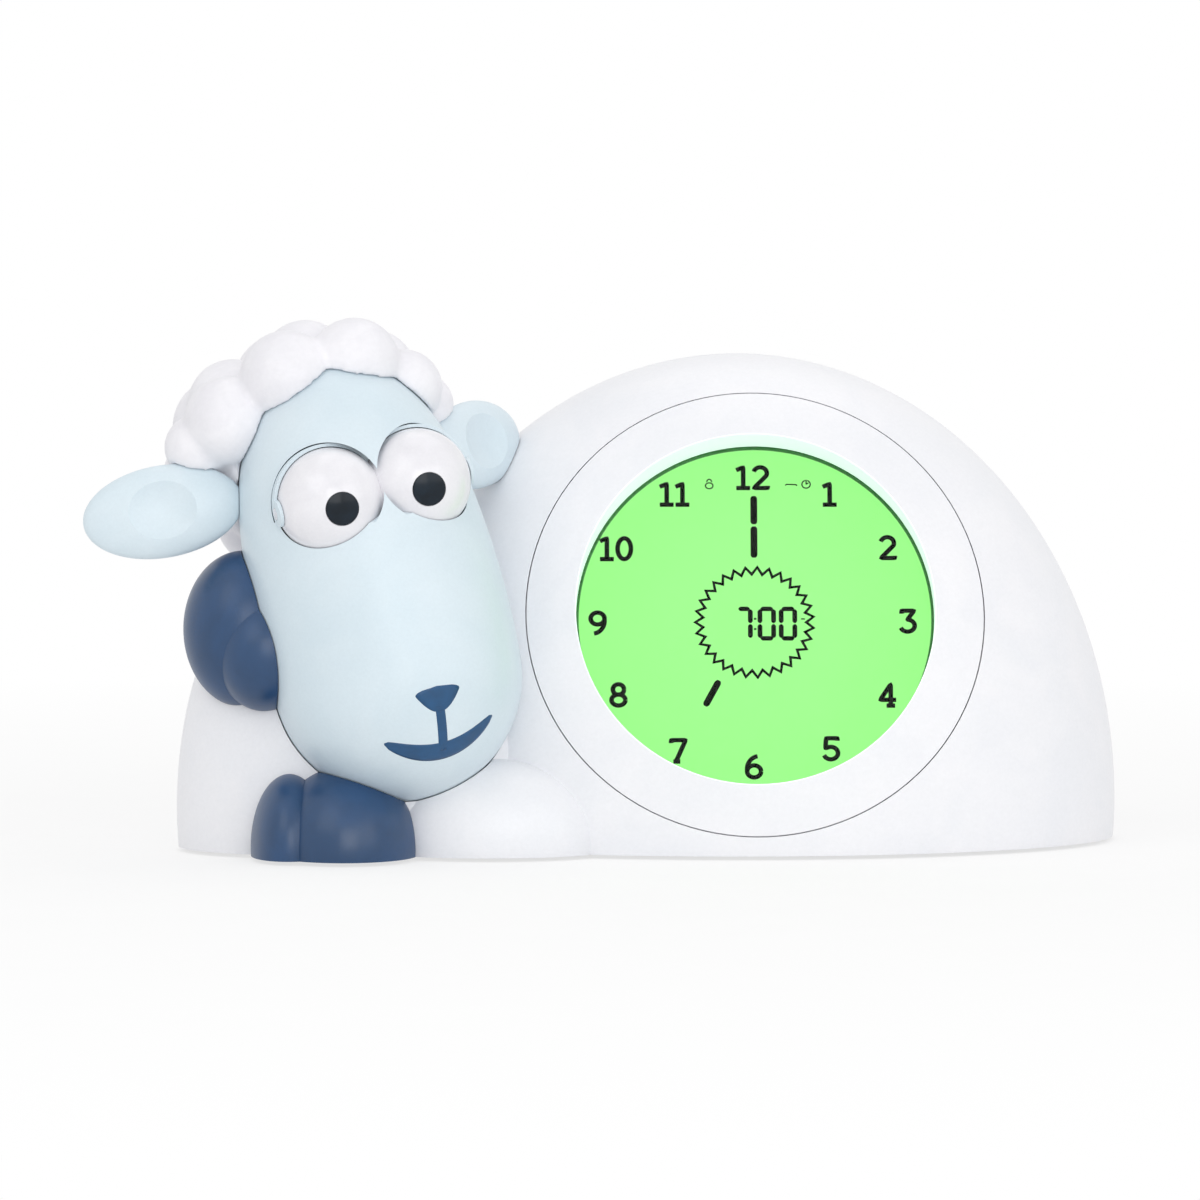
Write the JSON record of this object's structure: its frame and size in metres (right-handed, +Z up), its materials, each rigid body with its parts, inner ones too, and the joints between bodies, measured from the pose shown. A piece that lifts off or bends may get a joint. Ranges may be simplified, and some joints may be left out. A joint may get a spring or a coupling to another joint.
{
  "type": "sleep trainer clock",
  "caption": "Child's sleep trainer clock: white dome body with a tilted round lit dial, a resting sheep's head with closing eyelids, dark hooves, and keys and battery door on the back.",
  "frame": {"origin": "centre of the footprint, on the surface it stands on", "axes": "+X to the right as seen from the front, along the longest side; the dial and face look to -Y; +Z up"},
  "size_m": [0.2589, 0.116, 0.1338],
  "materials": {
    "shell_white": "satin moulded",
    "fleece_white": "satin moulded",
    "face_blue": "satin moulded",
    "hoof_blue": "satin moulded",
    "eye_white": "polished moulded",
    "pupil_dark": "polished moulded",
    "clear_window": "clear",
    "lcd_green": "lit display",
    "guide_clear": "frosted",
    "inner_white": "moulded",
    "black_plastic": "moulded",
    "led_white": "moulded",
    "board_green": "laminate",
    "key_blue": "moulded",
    "gear_nylon": "moulded",
    "steel": "zinc plated",
    "contact_metal": "nickel plated",
    "cell_sleeve": "printed sleeve",
    "cone_paper": "pressed",
    "foot_rubber": "moulded"
  },
  "bodies": {
    "clock": {"backlight_leds": "led_white", "base_plate": "shell_white", "base_screws": "steel", "batteries": "cell_sleeve", "battery_contacts": "contact_metal", "board_chips": "black_plastic", "board_screws": "steel", "button_board": "board_green", "carrier_screws": "steel", "dial_bezel": "shell_white", "dial_carrier": "inner_white", "dial_window": "clear_window", "ear_left": "face_blue", "ear_right": "face_blue", "eyeballs": "eye_white", "face_shell": "face_blue", "fleece": "fleece_white", "front_shell": "shell_white", "gear_motor": "steel", "head_back": "face_blue", "hoof_lower": "hoof_blue", "hoof_upper": "hoof_blue", "keyboard_screws": "steel", "lcd_panel": "lcd_green", "light_guide": "guide_clear", "main_board": "board_green", "mechanism_plate": "inner_white", "mechanism_screws": "steel", "mode_switch_body": "black_plastic", "neck_screws": "steel", "pupils": "pupil_dark", "rear_shell": "shell_white", "rubber_feet": "foot_rubber", "shell_screws": "steel", "speaker_cone": "cone_paper", "speaker_frame": "black_plastic", "speaker_magnet": "steel", "tact_switches": "black_plastic", "usb_socket": "steel", "wig_screws": "steel"},
    "eyelids": {"eyelids": "face_blue"},
    "pinion": {"drive_pinion": "gear_nylon"},
    "mode_knob": {"mode_switch_knob": "key_blue"},
    "battery_door": {"battery_door": "shell_white", "door_screw": "steel"},
    "button_clock_key": {"button_clock": "key_blue"},
    "button_alarm_key": {"button_alarm": "key_blue"},
    "button_hour_key": {"button_hour": "key_blue"},
    "button_minute_key": {"button_minute": "key_blue"},
    "button_light_key": {"button_light": "key_blue"},
    "button_sound_key": {"button_sound": "key_blue"}
  },
  "joints": [
    {"name": "eyelid_turn", "type": "hinge", "parent": "clock", "child": "eyelids", "pos_m": [-0.05569, -0.04124, 0.09145], "axis": [0.9303, 0.309, 0.1977], "range_deg": [0, 105]},
    {"name": "pinion_turn", "type": "hinge", "parent": "clock", "child": "pinion", "pos_m": [-0.06034, -0.02243, 0.08389], "axis": [0.9303, 0.309, 0.1977], "range_deg": [-170, 2]},
    {"name": "mode_slide", "type": "slide", "parent": "clock", "child": "mode_knob", "axis": [1, 0, 0], "range_m": [-0.004, 0.004]},
    {"name": "door_pull", "type": "slide", "parent": "clock", "child": "battery_door", "axis": [0, 1, 0], "range_m": [0, 0.03]},
    {"name": "button_clock_press", "type": "slide", "parent": "clock", "child": "button_clock_key", "axis": [0, -1, 0], "range_m": [0, 0.0008], "stiffness_N_per_m": 500},
    {"name": "button_alarm_press", "type": "slide", "parent": "clock", "child": "button_alarm_key", "axis": [0, -1, 0], "range_m": [0, 0.0008], "stiffness_N_per_m": 500},
    {"name": "button_hour_press", "type": "slide", "parent": "clock", "child": "button_hour_key", "axis": [0, -1, 0], "range_m": [0, 0.0008], "stiffness_N_per_m": 500},
    {"name": "button_minute_press", "type": "slide", "parent": "clock", "child": "button_minute_key", "axis": [0, -1, 0], "range_m": [0, 0.0008], "stiffness_N_per_m": 500},
    {"name": "button_light_press", "type": "slide", "parent": "clock", "child": "button_light_key", "axis": [0, -1, 0], "range_m": [0, 0.0008], "stiffness_N_per_m": 500},
    {"name": "button_sound_press", "type": "slide", "parent": "clock", "child": "button_sound_key", "axis": [0, -1, 0], "range_m": [0, 0.0008], "stiffness_N_per_m": 500}
  ],
  "couplings": [
    {"joint": "pinion_turn", "follows": "eyelid_turn", "ratio": -1.6}
  ]
}
